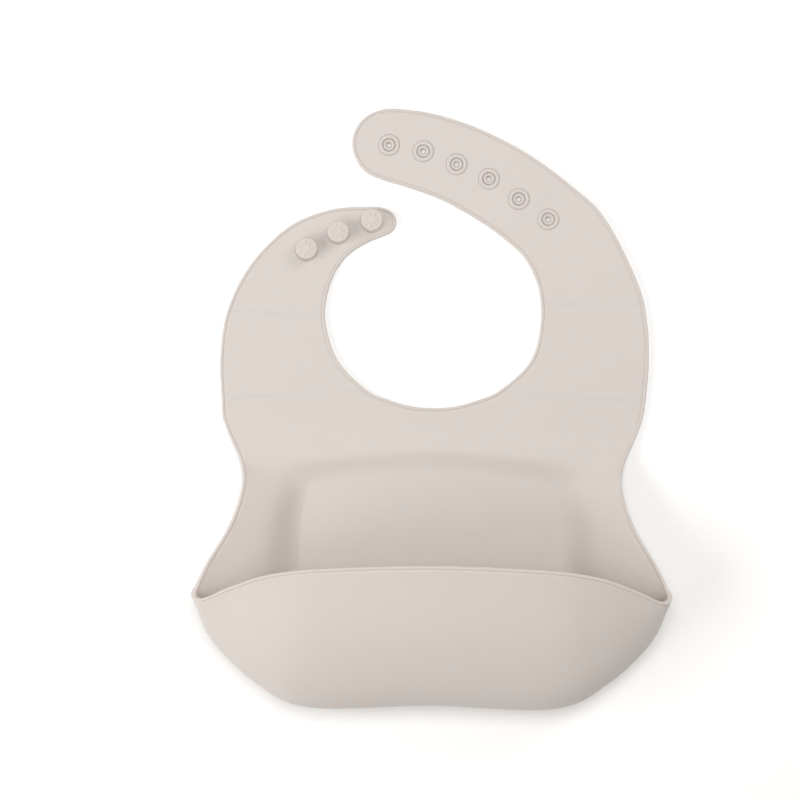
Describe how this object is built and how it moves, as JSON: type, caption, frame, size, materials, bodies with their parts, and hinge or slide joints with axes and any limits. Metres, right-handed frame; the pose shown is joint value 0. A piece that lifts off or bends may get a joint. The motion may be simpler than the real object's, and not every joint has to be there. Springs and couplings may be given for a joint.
{
  "type": "silicone bib",
  "caption": "Moulded silicone feeding bib: a neck opening between a button strap and an eyelet strap, over a wide pocket that catches food.",
  "frame": {"origin": "under the middle of the bib's box, on the surface that its back lies on", "axes": "+Y from the pocket to the neck straps, +Z out of the bib's front, +X towards the wearer's left, the side of the eyelet strap"},
  "size_m": [0.2346, 0.2976, 0.0534],
  "materials": {
    "silicone": "matt, very slightly silky, warm pale grey-beige"
  },
  "bodies": {
    "bib_front": {"chest_panel": "silicone", "pocket_back_wall": "silicone", "pocket_trough": "silicone", "pocket_left_gusset": "silicone", "pocket_right_gusset": "silicone", "button_shoulder_flex": "silicone", "hole_shoulder_flex": "silicone", "pocket_front_flex": "silicone"},
    "pocket_front": {"pocket_front_wall": "silicone", "pocket_rim": "silicone"},
    "button_shoulder": {"button_shoulder": "silicone", "button_strap_flex": "silicone"},
    "button_strap": {"button_strap": "silicone", "button_1": "silicone", "button_2": "silicone", "button_3": "silicone"},
    "hole_shoulder": {"hole_shoulder": "silicone", "hole_strap_flex": "silicone"},
    "hole_strap": {"hole_strap": "silicone", "hole_strap_end_flex": "silicone", "eyelet_4": "silicone", "eyelet_5": "silicone", "eyelet_6": "silicone"},
    "hole_strap_end": {"hole_strap_end": "silicone", "eyelet_1": "silicone", "eyelet_2": "silicone", "eyelet_3": "silicone"}
  },
  "joints": [
    {"name": "pocket_front_flex", "type": "hinge", "parent": "bib_front", "child": "pocket_front", "pos_m": [0, -0.13479, 0.0361], "axis": [1, 0, 0], "range_deg": [-30, 30], "stiffness_Nm_per_rad": 0.3, "deforming": ["pocket_front_flex"]},
    {"name": "button_shoulder_flex", "type": "hinge", "parent": "bib_front", "child": "button_shoulder", "pos_m": [-0.077, 0.02296, 0.001], "axis": [0.9999, 0.0171, 0], "range_deg": [-90, 90], "stiffness_Nm_per_rad": 0.012, "deforming": ["button_shoulder_flex"]},
    {"name": "button_strap_flex", "type": "hinge", "parent": "button_shoulder", "child": "button_strap", "pos_m": [-0.07216, 0.06467, 0.001], "axis": [0.984, -0.1783, 0], "range_deg": [-60, 60], "stiffness_Nm_per_rad": 0.008, "deforming": ["button_strap_flex"]},
    {"name": "hole_shoulder_flex", "type": "hinge", "parent": "bib_front", "child": "hole_shoulder", "pos_m": [0.0783, 0.02281, 0.001], "axis": [0.9999, -0.0119, 0], "range_deg": [-90, 90], "stiffness_Nm_per_rad": 0.012, "deforming": ["hole_shoulder_flex"]},
    {"name": "hole_strap_flex", "type": "hinge", "parent": "hole_shoulder", "child": "hole_strap", "pos_m": [0.0658, 0.08446, 0.001], "axis": [0.8944, 0.4472, 0], "range_deg": [-60, 60], "stiffness_Nm_per_rad": 0.008, "deforming": ["hole_strap_flex"]},
    {"name": "hole_strap_end_flex", "type": "hinge", "parent": "hole_strap", "child": "hole_strap_end", "pos_m": [0.01994, 0.1182, 0.001], "axis": [0.5366, 0.8438, 0], "range_deg": [-60, 60], "stiffness_Nm_per_rad": 0.006, "deforming": ["hole_strap_end_flex"]}
  ]
}
